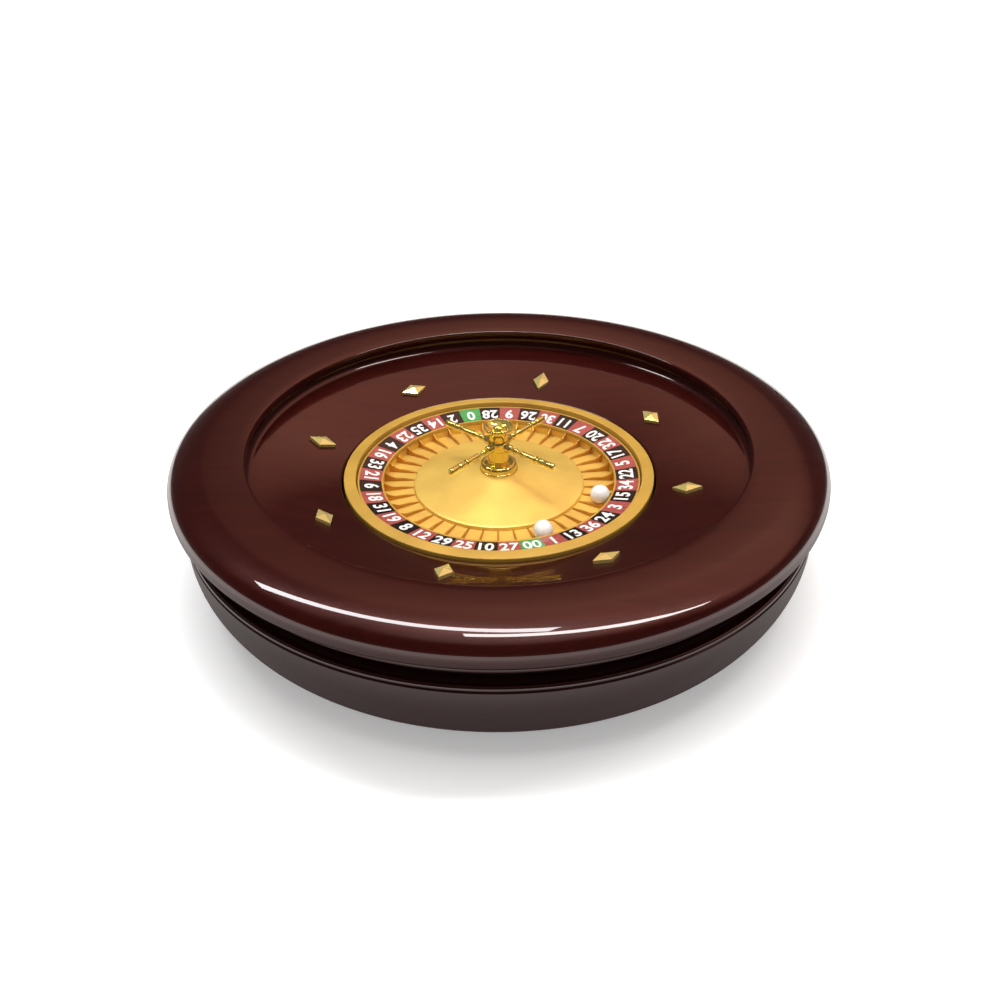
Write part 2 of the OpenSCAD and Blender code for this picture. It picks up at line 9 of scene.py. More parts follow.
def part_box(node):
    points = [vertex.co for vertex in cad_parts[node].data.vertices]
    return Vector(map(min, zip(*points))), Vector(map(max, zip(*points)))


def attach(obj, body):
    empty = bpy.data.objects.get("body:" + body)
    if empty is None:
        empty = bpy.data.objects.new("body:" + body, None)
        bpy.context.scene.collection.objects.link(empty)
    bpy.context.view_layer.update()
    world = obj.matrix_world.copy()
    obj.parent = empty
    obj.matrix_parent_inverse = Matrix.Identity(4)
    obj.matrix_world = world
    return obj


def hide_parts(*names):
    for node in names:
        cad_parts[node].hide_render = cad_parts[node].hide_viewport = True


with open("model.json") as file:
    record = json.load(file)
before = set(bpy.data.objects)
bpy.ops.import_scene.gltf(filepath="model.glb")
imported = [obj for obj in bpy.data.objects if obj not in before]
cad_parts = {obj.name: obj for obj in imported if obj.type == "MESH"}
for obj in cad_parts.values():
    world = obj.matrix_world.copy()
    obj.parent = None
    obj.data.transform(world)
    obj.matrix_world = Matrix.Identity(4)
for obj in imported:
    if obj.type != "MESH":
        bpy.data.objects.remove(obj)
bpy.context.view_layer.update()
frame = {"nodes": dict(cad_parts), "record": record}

# camera: the photograph's view, found from the circles of the wheel, on the side of -Y
camera_place = Vector((0.0007, -0.776, 0.5498))
camera_fall = radians(32.55)
camera_roll = radians(-0.6)
focal_px = 1157.5
picture_px = 1000
sensor_mm = 36
forward = Vector((0, cos(camera_fall), -sin(camera_fall)))
level = Vector((1, 0, 0))
above = level.cross(forward)
right = level * cos(camera_roll) + above * sin(camera_roll)
up = above * cos(camera_roll) - level * sin(camera_roll)
camera = bpy.data.objects.new("camera", bpy.data.cameras.new("camera"))
bpy.context.scene.collection.objects.link(camera)
camera.data.sensor_width = sensor_mm
camera.data.lens = sensor_mm * focal_px / picture_px
camera.data.clip_end = 30
looking = Matrix((right, up, -forward)).transposed().to_4x4()
camera.matrix_world = Matrix.Translation(camera_place) @ looking
bpy.context.scene.camera = camera
bpy.context.scene.view_settings.view_transform = "Standard"


# baize disc: green wool cloth glued under the bowl, so that it doesn't mark the table,
# its edge cut round with a knife
def new_material(name, colour, roughness, metallic=0.0):
    """A material, its node tree and its shader."""
    material = bpy.data.materials.new(name)
    material.use_nodes = True
    shader = material.node_tree.nodes["Principled BSDF"]
    shader.inputs["Base Color"].default_value = (*colour, 1)
    shader.inputs["Roughness"].default_value = roughness
    shader.inputs["Metallic"].default_value = metallic
    material.diffuse_color = (*colour, 1)
    return material, material.node_tree, shader


def add(tree, kind, **settings):
    node = tree.nodes.new(kind)
    for setting, value in settings.items():
        setattr(node, setting, value)
    return node


def place_in_object(tree, stretch=(1, 1, 1)):
    """The point of the object that is shaded, stretched for a pattern with a direction."""
    coordinates = add(tree, "ShaderNodeTexCoord")
    return stretched(tree, coordinates.outputs["Object"], stretch)


def stretched(tree, place, stretch, turn=None):
    mapping = add(tree, "ShaderNodeMapping")
    mapping.inputs["Scale"].default_value = stretch
    tree.links.new(place, mapping.inputs["Vector"])
    if turn:
        tree.links.new(turn, mapping.inputs["Rotation"])
    return mapping.outputs["Vector"]


def noise(tree, place, scale, detail=3.0, roughness=0.5, distortion=0.0):
    node = add(tree, "ShaderNodeTexNoise")
    node.inputs["Scale"].default_value = scale
    node.inputs["Detail"].default_value = detail
    node.inputs["Roughness"].default_value = roughness
    node.inputs["Distortion"].default_value = distortion
    tree.links.new(place, node.inputs["Vector"])
    return node.outputs["Fac"]


def spread(tree, value, low, high, to_low=0.0, to_high=1.0):
    node = add(tree, "ShaderNodeMapRange")
    node.inputs["From Min"].default_value = low
    node.inputs["From Max"].default_value = high
    node.inputs["To Min"].default_value = to_low
    node.inputs["To Max"].default_value = to_high
    tree.links.new(value, node.inputs["Value"])
    return node.outputs["Result"]


def blend_colours(tree, factor, first, second):
    node = add(tree, "ShaderNodeMix", data_type="RGBA")
    for socket, value in ((node.inputs[6], first), (node.inputs[7], second)):
        if isinstance(value, tuple):
            socket.default_value = (*value, 1)
        else:
            tree.links.new(value, socket)
    tree.links.new(factor, node.inputs[0])
    return node.outputs[2]


def bump_from(tree, height, strength, distance):
    node = add(tree, "ShaderNodeBump")
    node.inputs["Strength"].default_value = strength
    node.inputs["Distance"].default_value = distance
    tree.links.new(height, node.inputs["Height"])
    return node.outputs["Normal"]


mm = 0.001


def spin_outline(mesh, outline, steps, place=Matrix.Identity(4), closed=True):
    """Spin an outline of (radius, height) in millimetres round Z, then lay it in place."""
    verts = [mesh.verts.new(Vector((r, 0, z)) * mm) for r, z in outline]
    pairs = list(zip(verts, verts[1:]))
    if closed:
        pairs.append((verts[-1], verts[0]))
    edges = [mesh.edges.new(pair) for pair in pairs]
    bmesh.ops.spin(mesh, geom=verts + edges, cent=(0, 0, 0), axis=(0, 0, 1), angle=2 * pi,
                   steps=steps, use_merge=True)
    fresh = [v for v in mesh.verts if not v.tag]
    bmesh.ops.transform(mesh, matrix=place, verts=fresh)
    for v in fresh:
        v.tag = True


def finish_piece(mesh, name, material, body, nodes=(), smooth_angle=40):
    """Close the mesh, turn its faces outwards, dress it and hand it to its body."""
    bmesh.ops.remove_doubles(mesh, verts=mesh.verts, dist=1e-6)
    bmesh.ops.recalc_face_normals(mesh, faces=mesh.faces)
    data = bpy.data.meshes.new(name)
    mesh.to_mesh(data)
    mesh.free()
    data.shade_smooth()
    data.set_sharp_from_angle(angle=radians(smooth_angle))
    for one in material if isinstance(material, list) else [material]:
        data.materials.append(one)
    piece = bpy.data.objects.new(name, data)
    bpy.context.scene.collection.objects.link(piece)
    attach(piece, body)
    if nodes:
        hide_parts(*nodes)


def turned_piece(name, outline, material, body, nodes, steps=360, closed=True):
    mesh = bmesh.new()
    spin_outline(mesh, outline, steps, closed=closed)
    finish_piece(mesh, name, material, body, nodes)


axis_r = 0.01
baize_h = 3
baize_r = 189.8
cloth_lift = 0.02
baize_material, baize_tree, baize_shader = new_material("green_baize", (0.03, 0.11, 0.06), 0.95)
nap = noise(baize_tree, place_in_object(baize_tree), 1600, 3, 0.7)
worn = noise(baize_tree, place_in_object(baize_tree), 30, 3, 0.5)
nap_colour = blend_colours(baize_tree, spread(baize_tree, nap, 0.3, 0.7),
                           (0.018, 0.07, 0.038), (0.05, 0.16, 0.09))
worn_colour = blend_colours(baize_tree, spread(baize_tree, worn, 0.4, 0.7, 0, 0.4),
                            nap_colour, (0.03, 0.10, 0.065))
baize_tree.links.new(worn_colour, baize_shader.inputs["Base Color"])
baize_tree.links.new(bump_from(baize_tree, nap, 0.6, 0.0004), baize_shader.inputs["Normal"])
baize_shader.inputs["Sheen Weight"].default_value = 0.5
baize_outline = [(axis_r, baize_h), (axis_r, cloth_lift), (baize_r - 1.2, cloth_lift), (baize_r - 0.3, 0.6)]
baize_outline += [(baize_r, 1.6), (baize_r, baize_h)]
turned_piece("baize_disc", baize_outline, baize_material, "base", ["baize"], 256)


# lower bowl: mahogany turned on the lathe, curving in to its base, with a bead at the top
# edge and a well for the rotor, stained dark and flatted and polished under clear lacquer
def new_group(name, inputs, outputs):
    """A node group with named sockets, and its two end nodes."""
    group = bpy.data.node_groups.new(name, "ShaderNodeTree")
    for label, kind in inputs.items():
        group.interface.new_socket(label, in_out="INPUT", socket_type="NodeSocket" + kind)
    for label, kind in outputs.items():
        group.interface.new_socket(label, in_out="OUTPUT", socket_type="NodeSocket" + kind)
    return group, group.nodes.new("NodeGroupInput"), group.nodes.new("NodeGroupOutput")


def put_group(tree, group, values):
    """Place a node group in a material, with a value or a link for each of its inputs."""
    node = add(tree, "ShaderNodeGroup", node_tree=group)
    for label, value in values.items():
        if isinstance(value, tuple):
            node.inputs[label].default_value = value
        else:
            tree.links.new(value, node.inputs[label])
    return node


# handling marks: soft smears and fine dust, as one mask for the lacquer, the gilt and the metals
marks, marks_in, marks_out = new_group("handling_marks", {"Place": "Vector"}, {"Mask": "Float"})
smear = spread(marks, noise(marks, marks_in.outputs["Place"], 9, 4, 0.6, 1.2), 0.5, 0.75)
speck = spread(marks, noise(marks, marks_in.outputs["Place"], 900, 1, 0.4), 0.7, 0.78)
smear_or_speck = add(marks, "ShaderNodeMath", operation="MAXIMUM")
marks.links.new(smear, smear_or_speck.inputs[0])
marks.links.new(speck, smear_or_speck.inputs[1])
marks.links.new(smear_or_speck.outputs[0], marks_out.inputs["Mask"])


def marked_roughness(tree, shader, low, high):
    mask = put_group(tree, marks, {"Place": place_in_object(tree)}).outputs["Mask"]
    tree.links.new(spread(tree, mask, 0, 1, low, high), shader.inputs["Roughness"])
    return mask


# mahogany grain: long fibres, clouds of redder wood and fine dark pores
grain, grain_in, grain_out = new_group(
    "mahogany_grain",
    {"Place": "Vector", "Turn": "Vector", "Deep": "Color", "Warm": "Color", "Red": "Color"},
    {"Colour": "Color", "Pores": "Float"},
)
grain_place, grain_turn = grain_in.outputs["Place"], grain_in.outputs["Turn"]
fibre = noise(grain, stretched(grain, grain_place, (5, 70, 70), grain_turn), 1.0, 6, 0.62, 1.6)
cloud = noise(grain, stretched(grain, grain_place, (3, 9, 9), grain_turn), 1.0, 2, 0.5, 0.6)
pores = noise(grain, stretched(grain, grain_place, (60, 1400, 1400), grain_turn), 1.0, 2, 0.5)
fibre_colour = blend_colours(grain, spread(grain, fibre, 0.3, 0.7),
                             grain_in.outputs["Deep"], grain_in.outputs["Warm"])
cloud_colour = blend_colours(grain, spread(grain, cloud, 0.4, 0.72, 0, 0.5),
                             fibre_colour, grain_in.outputs["Red"])
pore_colour = blend_colours(grain, spread(grain, pores, 0.66, 0.72, 0, 0.35),
                            cloud_colour, (0.010, 0.002, 0.0018))
grain.links.new(pore_colour, grain_out.inputs["Colour"])
grain.links.new(pores, grain_out.inputs["Pores"])


def mahogany(name, turn, tone=1.0, depth=0.4, lacquer_ior=1.58):
    """Dark red wood with long grain and pores under a thick clear lacquer."""
    material, tree, shader = new_material(name, (0.1, 0.01, 0.008), 0.34, depth)
    coordinates = add(tree, "ShaderNodeTexCoord")
    wood = put_group(tree, grain, {
        "Place": coordinates.outputs["Object"],
        "Turn": (0, 0, turn),
        "Deep": (0.028 * tone, 0.0026 * tone, 0.0018 * tone, 1),
        "Warm": (0.044 * tone, 0.0048 * tone, 0.0030 * tone, 1),
        "Red": (0.045 * tone, 0.0030 * tone, 0.0020 * tone, 1),
    })
    tree.links.new(wood.outputs["Colour"], shader.inputs["Base Color"])
    marked_roughness(tree, shader, 0.32, 0.4)
    shader.inputs["Specular IOR Level"].default_value = 0.2
    shader.inputs["Coat Weight"].default_value = 1.0
    shader.inputs["Coat Roughness"].default_value = 0.02
    shader.inputs["Coat IOR"].default_value = lacquer_ior
    ripple = noise(tree, place_in_object(tree), 24, 1, 0.4)
    tree.links.new(bump_from(tree, ripple, 0.02, 0.0003), shader.inputs["Coat Normal"])
    tree.links.new(bump_from(tree, wood.outputs["Pores"], 0.15, 0.0001), shader.inputs["Normal"])
    return material


def arc(centre, radius, start, end, steps=12):
    """Points of a turned outline along an arc, from one angle to another in degrees."""
    angles = [radians(start + (end - start) * k / steps) for k in range(steps + 1)]
    return [(centre[0] + radius * cos(a), centre[1] + radius * sin(a)) for a in angles]


bowl_wood = mahogany("bowl_mahogany", 0.2, 0.62, 0.3, lacquer_ior=1.85)
bowl_top = 72
bowl_well_r = 124
bowl_well_floor = 30
bowl_side_r = 60
bowl_side_centre = (181.5, 61)
bowl_side_drop = bowl_side_centre[1] - baize_h
foot_angle = -degrees(atan(bowl_side_drop / sqrt(bowl_side_r**2 - bowl_side_drop**2)))
bowl_bead_centre = (238.9, 69.6)
bowl_bead_r = 2.3
bowl_outline = (
    [(axis_r, baize_h)]
    + arc(bowl_side_centre, bowl_side_r, foot_angle, 5.5, 40)
    + arc(bowl_bead_centre, bowl_bead_r, -55, 88, 14)
    + [(bowl_well_r + 1, bowl_top), (bowl_well_r, bowl_top - 1), (bowl_well_r, bowl_well_floor)]
    + [(axis_r, bowl_well_floor)]
)
turned_piece("lower_bowl", bowl_outline, bowl_wood, "base", ["bowl"], 480, closed=False)


# reveal: a ring of wood set back between the rim and the lower bowl, coloured nearly black as painted shade
# in the recess
reveal_in = 207
reveal_out = 229
reveal_top = 81.5
# painted shade: the nearly black colours stand in for the shade of the recess under the rim
reveal_material, reveal_tree, reveal_shader = new_material("painted_shade_black", (0.006, 0.004, 0.004), 0.5)
recess_streaks = noise(reveal_tree, place_in_object(reveal_tree, (8, 80, 80)), 1, 4, 0.6)
painted_shade_colour = blend_colours(reveal_tree, spread(reveal_tree, recess_streaks, 0.3, 0.7),
                             (0.003, 0.002, 0.002), (0.012, 0.006, 0.005))
reveal_tree.links.new(painted_shade_colour, reveal_shader.inputs["Base Color"])
reveal_tree.links.new(spread(reveal_tree, recess_streaks, 0.3, 0.7, 0.35, 0.6), reveal_shader.inputs["Roughness"])
reveal_outline = [(reveal_in, bowl_top), (reveal_out, bowl_top), (reveal_out - 0.4, bowl_top + 2)]
reveal_outline += [(reveal_out - 0.4, reveal_top - 2), (reveal_out, reveal_top), (reveal_in, reveal_top)]
turned_piece("reveal", reveal_outline, reveal_material, "base", ["reveal_ring"], 360)


# rim: a wide crowned mahogany ring with a rolled nose and a bead below it, glued over the
# reveal, its inner lip standing over the ball track
rim_wood = mahogany("rim_mahogany", 0.5)
rim_bore = 206.2
lip_h = 107.5
shoulder = (222, 67)
shoulder_r = 48
nose_r = 12
nose_x = 237.9
nose_z = shoulder[1] + sqrt((shoulder_r - nose_r) ** 2 - (nose_x - shoulder[0]) ** 2)
nose_start = degrees(atan((nose_z - shoulder[1]) / (nose_x - shoulder[0])))
rim_bead_centre = (237.4, 83.9)
rim_bead_r = 2.4
rim_outline = (
    [(197.4, lip_h), (193.2, lip_h)]
    + arc((193.0, 109.1), 1.4, 270, 180, 6)
    + arc((193.4, 111.7), 1.8, 180, 95, 8)
    + [(200, 114.05), (210, 114.62), (216, 114.88)]
    + arc(shoulder, shoulder_r, 90, nose_start, 24)
    + arc((nose_x, nose_z), nose_r, nose_start - 4, -76, 40)
    + [(237.0, 86.6)]
    + arc(rim_bead_centre, rim_bead_r, 70, -88, 14)
    + [(rim_bore, reveal_top), (rim_bore, lip_h)]
)
turned_piece("rim_ring", rim_outline, rim_wood, "base", ["rim"], 480)


# ball track: a turned mahogany ring under the lip, hollowed for the ball to run in
apron_wood = mahogany("apron_mahogany", 1.1, 1.15)
apron_in = 122.5
apron_out = 187.0
apron_low = 81.5
apron_top = 94.5
track_out = 205.9
track_top = 107.4
track_outline = (
    [(apron_out, bowl_top), (track_out, bowl_top), (track_out, track_top), (196.5, track_top)]
    + arc((188.8, 103.8), 8.5, 22, -84, 20)
    + [(188.2, 95.0), (apron_out, 94.75)]
)
turned_piece("track_ring", track_outline, apron_wood, "base", ["ball_track"], 480)


# apron: the sloping mahogany floor from the ball track down to the rotor, glued on the bowl
apron_outline = [(apron_in, bowl_top), (apron_out, bowl_top), (apron_out, apron_top + 0.2)]
apron_outline += [(apron_in + 1.0, apron_low + 0.2), (apron_in + 0.3, apron_low - 0.1)]
apron_outline += [(apron_in, apron_low - 0.6)]
turned_piece("apron_cone", apron_outline, apron_wood, "base", ["apron"], 480)


# deflectors: eight cast brass diamonds, let in to the apron on pins, polished on their
# facets, their arrises softened by the buffing wheel
buffed, buffed_in, buffed_out = new_group(
    "buffed_brass",
    {"Place": "Vector", "Mask": "Float", "Bright": "Color", "Dull": "Color"},
    {"Colour": "Color", "Height": "Float"},
)
buffed_colour = blend_colours(buffed, spread(buffed, buffed_in.outputs["Mask"], 0, 1, 0, 0.5),
                              buffed_in.outputs["Bright"], buffed_in.outputs["Dull"])
buff_lines = noise(buffed, stretched(buffed, buffed_in.outputs["Place"], (1, 1, 3)), 420, 2, 0.5)
buffed.links.new(buffed_colour, buffed_out.inputs["Colour"])
buffed.links.new(buff_lines, buffed_out.inputs["Height"])


def polished_brass(name, colour, low, high, metallic):
    """Yellow brass from the buffing wheel, a little duller where it is handled."""
    material, tree, shader = new_material(name, colour, low, metallic)
    brass = put_group(tree, buffed, {
        "Place": place_in_object(tree),
        "Mask": marked_roughness(tree, shader, low, high),
        "Bright": (*colour, 1),
        "Dull": (*(c * 0.82 for c in colour), 1),
    })
    tree.links.new(brass.outputs["Colour"], shader.inputs["Base Color"])
    tree.links.new(bump_from(tree, brass.outputs["Height"], 0.02, 0.00005), shader.inputs["Normal"])
    return material


def redress(node, material):
    """Give a CAD node its finish and leave its shape alone."""
    node.data.materials.clear()
    node.data.materials.append(material)


deflector_brass = polished_brass("deflector_brass", (0.93, 0.77, 0.27), 0.12, 0.2, 0.62)
for number in range(1, 9):
    diamond = frame["nodes"]["deflector_%d" % number]
    redress(diamond, deflector_brass)
    soft_arris = diamond.modifiers.new("soft_arris", "BEVEL")
    soft_arris.width = 0.00022
    soft_arris.segments = 2
    soft_arris.limit_method = "ANGLE"
    soft_arris.angle_limit = radians(15)
    soft_arris.harden_normals = False


# gold rim of the rotor: a broad flat ring of gilt brass, a shade higher on its inner side,
# its edges rounded, turned in a lathe and left satin
turning, turning_in, turning_out = new_group(
    "turned_gilt",
    {"Place": "Vector", "Darker": "Color", "Lighter": "Color"},
    {"Colour": "Color", "Height": "Float"},
)
turning_split = add(turning, "ShaderNodeSeparateXYZ")
turning.links.new(turning_in.outputs["Place"], turning_split.inputs[0])
turning_flat = add(turning, "ShaderNodeCombineXYZ")
turning.links.new(turning_split.outputs[0], turning_flat.inputs[0])
turning.links.new(turning_split.outputs[1], turning_flat.inputs[1])
from_axis = add(turning, "ShaderNodeVectorMath", operation="LENGTH")
turning.links.new(turning_flat.outputs[0], from_axis.inputs[0])
ring_place = add(turning, "ShaderNodeCombineXYZ")
turning.links.new(from_axis.outputs["Value"], ring_place.inputs[0])
turning.links.new(turning_split.outputs[2], ring_place.inputs[1])
tool_lines = noise(turning, ring_place.outputs[0], 1500, 2, 0.6)
gilt_cloud = noise(turning, stretched(turning, turning_in.outputs["Place"], (1, 1, 1)), 26, 3, 0.5)
gilt_dust = noise(turning, stretched(turning, turning_in.outputs["Place"], (1, 1, 1)), 2600, 1, 0.5)
gilt_colour = blend_colours(turning, spread(turning, gilt_cloud, 0.35, 0.68),
                            turning_in.outputs["Darker"], turning_in.outputs["Lighter"])
gilt_height = add(turning, "ShaderNodeMath", operation="ADD")
turning.links.new(tool_lines, gilt_height.inputs[0])
turning.links.new(gilt_dust, gilt_height.inputs[1])
turning.links.new(gilt_colour, turning_out.inputs["Colour"])
turning.links.new(gilt_height.outputs[0], turning_out.inputs["Height"])


def satin_gold(name, colour, roughness, metallic=0.45):
    """Gilt brass with fine turning lines round the axis, under a thin clear coat."""
    material, tree, shader = new_material(name, colour, roughness, metallic)
    coordinates = add(tree, "ShaderNodeTexCoord")
    gilt = put_group(tree, turning, {
        "Place": coordinates.outputs["Object"],
        "Darker": (*(c * 0.86 for c in colour), 1),
        "Lighter": (*(min(1.0, c * 1.08) for c in colour), 1),
    })
    tree.links.new(gilt.outputs["Colour"], shader.inputs["Base Color"])
    tree.links.new(bump_from(tree, gilt.outputs["Height"], 0.12, 0.00012), shader.inputs["Normal"])
    marked_roughness(tree, shader, roughness - 0.05, roughness + 0.07)
    shader.inputs["Coat Weight"].default_value = 0.15
    shader.inputs["Coat Roughness"].default_value = 0.2
    return material


rotor_gold = satin_gold("rotor_gold", (0.58, 0.34, 0.055), 0.5, 0.2)
gold_in = 111.2
gold_out = 120.65
gold_outline = (
    [(gold_in, 74.2), (gold_out - 0.45, 74.2), (gold_out, 74.8)]
    + arc((gold_out - 0.75, 82.2), 0.75, 0, 85, 6)
    + arc((gold_in + 0.78, 83.0), 0.78, 84, 180, 8)
)
turned_piece("gold_ring", gold_outline, rotor_gold, "rotor", ["gold_rim"], 360)


# wooden disc that carries the rotor's rings, with its seat ring glued on top, seen from
# above only as the dark line round the gold rim
disc_wood = mahogany("disc_mahogany", 0.9, 0.8)
disc_bore = 20.2
disc_r = 118.5
disc_floor = 45
disc_top = 65
seat_in = 94
seat_top = 74
disc_outline = [(disc_bore, disc_floor), (disc_r - 1, disc_floor), (disc_r, disc_floor + 1)]
disc_outline += [(disc_r, seat_top), (seat_in, seat_top), (seat_in, disc_top), (disc_bore, disc_top)]
turned_piece("rotor_wood", disc_outline, disc_wood, "rotor", ["rotor_disc", "seat_ring"], 256)


# number ring: a sloping band between two thin raised gold lines, turned with them from
# one ring of gilt brass and screwed on the seat ring
band_in = (91.8, 77.1)
band_out = (108.8, 79.6)
line_r = 0.35
number_outline = (
    [(90.4, seat_top), (110.2, seat_top), (110.3, band_out[1])]
    + arc((109.95, band_out[1]), line_r, 0, 90, 4)
    + arc((109.15, band_out[1]), line_r, 90, 180, 4)
    + [band_out, band_in]
    + arc((91.45, band_in[1]), line_r, 0, 90, 4)
    + arc((90.65, band_in[1]), line_r, 90, 180, 4)
)
turned_piece("band_ring", number_outline, rotor_gold, "rotor", ["number_ring"], 360)


# number cells: baked enamel on the band, red and black in turn, with green for the two
# zeros, each cell one pocket wide
fired, fired_in, fired_out = new_group(
    "fired_enamel", {"Place": "Vector", "Darker": "Color", "Plain": "Color"}, {"Colour": "Color"}
)
fired_tone = noise(fired, stretched(fired, fired_in.outputs["Place"], (1, 1, 1)), 220, 3, 0.5)
fired_colour = blend_colours(fired, spread(fired, fired_tone, 0.35, 0.7),
                             fired_in.outputs["Darker"], fired_in.outputs["Plain"])
fired.links.new(fired_colour, fired_out.inputs["Colour"])


def enamel(name, colour):
    material, tree, shader = new_material(name, colour, 0.3)
    coordinates = add(tree, "ShaderNodeTexCoord")
    glaze = put_group(tree, fired, {
        "Place": coordinates.outputs["Object"],
        "Darker": (*(c * 0.78 for c in colour), 1),
        "Plain": (*colour, 1),
    })
    tree.links.new(glaze.outputs["Colour"], shader.inputs["Base Color"])
    marked_roughness(tree, shader, 0.24, 0.4)
    shader.inputs["Coat Weight"].default_value = 0.6
    shader.inputs["Coat Roughness"].default_value = 0.12
    return material


enamels = [
    enamel("enamel_red", (0.40, 0.085, 0.072)),
    enamel("enamel_black", (0.014, 0.010, 0.009)),
    enamel("enamel_green", (0.055, 0.36, 0.09)),
]
clockwise = "0 28 9 26 30 11 7 20 32 17 5 22 34 15 3 24 36 13 1".split()
clockwise += "00 27 10 25 29 12 8 19 31 18 6 21 33 16 4 23 35 14 2".split()
pitch = 2 * pi / len(clockwise)
seventeen_turn = radians(18.25)
zero_turn = seventeen_turn + pitch * clockwise.index("17")


def on_band(angle, share, lift):
    """A point of the number band: share 0 at its inner edge, 1 at its outer edge, lift over it."""
    radius = band_in[0] + (band_out[0] - band_in[0]) * share
    height = band_in[1] + (band_out[1] - band_in[1]) * share
    return Vector((radius * cos(angle), radius * sin(angle), height + lift)) * mm


cells = bmesh.new()
cell_steps = 10
enamel_lift = 0.08
for place, number in enumerate(clockwise):
    middle = zero_turn - place * pitch
    turns = [middle + pitch * (k / cell_steps - 0.5) for k in range(cell_steps + 1)]
    edge_in = [cells.verts.new(on_band(turn, 0.0, enamel_lift)) for turn in turns]
    edge_out = [cells.verts.new(on_band(turn, 1.0, enamel_lift)) for turn in turns]
    for k in range(cell_steps):
        face = cells.faces.new((edge_in[k], edge_out[k], edge_out[k + 1], edge_in[k + 1]))
        face.material_index = 2 if number in ("0", "00") else place % 2
finish_piece(cells, "number_cells", enamels, "rotor")


# numbers: white paint screened on the cells, their tops towards the middle of the wheel,
# as on every dial of this kind
paint, paint_tree, paint_shader = new_material("number_paint", (0.86, 0.85, 0.82), 0.4)
paint_tone = noise(paint_tree, place_in_object(paint_tree), 400, 3, 0.6)
paint_colour = blend_colours(paint_tree, spread(paint_tree, paint_tone, 0.35, 0.7),
                             (0.76, 0.75, 0.72), (0.9, 0.89, 0.87))
paint_tree.links.new(paint_colour, paint_shader.inputs["Base Color"])
paint_shader.inputs["Coat Weight"].default_value = 0.4
digits = bmesh.new()
digit_size = 0.0156
digit_bolder = 0.00042
digit_narrow = 0.86
digit_low = 0.98
digit_share = 0.45
paint_lift = 0.14
band_fall = atan((band_out[1] - band_in[1]) / (band_out[0] - band_in[0]))
for place, number in enumerate(clockwise):
    angle = zero_turn - place * pitch
    words = bpy.data.curves.new("number_" + number, "FONT")
    words.body = number
    words.size = digit_size
    words.offset = digit_bolder
    words.resolution_u = 5
    words.space_character = 1.02
    words.align_x = "CENTER"
    words.align_y = "CENTER"
    holder = bpy.data.objects.new("number_" + number, words)
    bpy.context.scene.collection.objects.link(holder)
    bpy.context.view_layer.update()
    flat = bpy.data.meshes.new_from_object(holder)
    wide = [v.co.x for v in flat.vertices]
    tall = [v.co.y for v in flat.vertices]
    centre = Vector(((min(wide) + max(wide)) / 2, (min(tall) + max(tall)) / 2, 0))
    across = Vector((-sin(angle), cos(angle), 0))
    inward = Vector((-cos(angle) * cos(band_fall), -sin(angle) * cos(band_fall), -sin(band_fall)))
    facing = across.cross(inward)
    seat = Matrix((across, inward, facing)).transposed().to_4x4()
    seat.translation = on_band(angle, digit_share, paint_lift)
    shape = Matrix.Diagonal((digit_narrow, digit_low, 1, 1))
    flat.transform(seat @ shape @ Matrix.Translation(-centre))
    digits.from_mesh(flat)
    bpy.data.objects.remove(holder)
    bpy.data.curves.remove(words)
    bpy.data.meshes.remove(flat)
finish_piece(digits, "numbers", paint, "rotor")


# pocket ring: turned gilt brass with a sloping floor and an upright wall, and a shaped
# fret soldered between every two pockets, the frets given a darker gold as painted shade
pocket_gold = satin_gold("pocket_gold", (0.99, 0.62, 0.13), 0.38)
# painted shade: the frets get a darker copy of the pocket gold, for the shade between the pockets
painted_shade_fret_gold = satin_gold("painted_shade_fret_gold", (0.60, 0.27, 0.035), 0.34)
pockets = bmesh.new()
floor_in = (66.6, 69.8)
floor_out = (90.7, 68.0)
pocket_r = 93.7
pocket_outline = (
    [(floor_in[0], disc_top), (pocket_r, disc_top), (pocket_r, 73.9)]
    + arc((91.1, 73.5), 0.4, 80, 180, 4)
    + arc((90.1, 68.7), 0.6, 0, -86, 5)
    + [floor_in]
)
spin_outline(pockets, pocket_outline, 304)
ring_faces = set(pockets.faces)
fret_thick = 1.2
fret_foot = 67.5
fret_bevel = 0.28
ball_seat_r = 82.5
floor_fall = (floor_in[1] - floor_out[1]) / (floor_out[0] - floor_in[0])
ball_seat_top = floor_out[1] + (floor_out[0] - ball_seat_r) * floor_fall + 2.8
fret_outline = [(67.0, fret_foot), (91.4, fret_foot), (91.4, 73.5), (90.15, 73.5), (90.15, 75.3)]
fret_outline += [(88.0, 73.75), (85.2, 72.35), (ball_seat_r, ball_seat_top), (75.0, 71.4)]
fret_outline += [(67.4, 70.6), (67.0, 70.3)]
for k in range(len(clockwise)):
    turn = Matrix.Rotation(seventeen_turn + (k + 0.5) * pitch, 4, "Z")
    near = [pockets.verts.new(turn @ (Vector((r, -fret_thick / 2, z)) * mm)) for r, z in fret_outline]
    raised = bmesh.ops.extrude_face_region(pockets, geom=[pockets.faces.new(near)])
    far = [g for g in raised["geom"] if isinstance(g, bmesh.types.BMVert)]
    bmesh.ops.translate(pockets, verts=far, vec=turn.to_3x3() @ Vector((0, fret_thick * mm, 0)))
    edges = list(dict.fromkeys(e for v in near + far for e in v.link_edges))
    outer = [e for e in edges if all(v in near for v in e.verts) or all(v in far for v in e.verts)]
    bmesh.ops.bevel(pockets, geom=outer, offset=fret_bevel * mm, offset_type="OFFSET", segments=2,
                    profile=0.5, affect="EDGES", material=-1)
# painted shade: every fret face takes the darker gold, the ring's own faces the pocket gold
for face in pockets.faces:
    face.material_index = 0 if face in ring_faces else 1
finish_piece(pockets, "pocket_bowl", [pocket_gold, painted_shade_fret_gold], "rotor", ["pocket_ring"], 35)


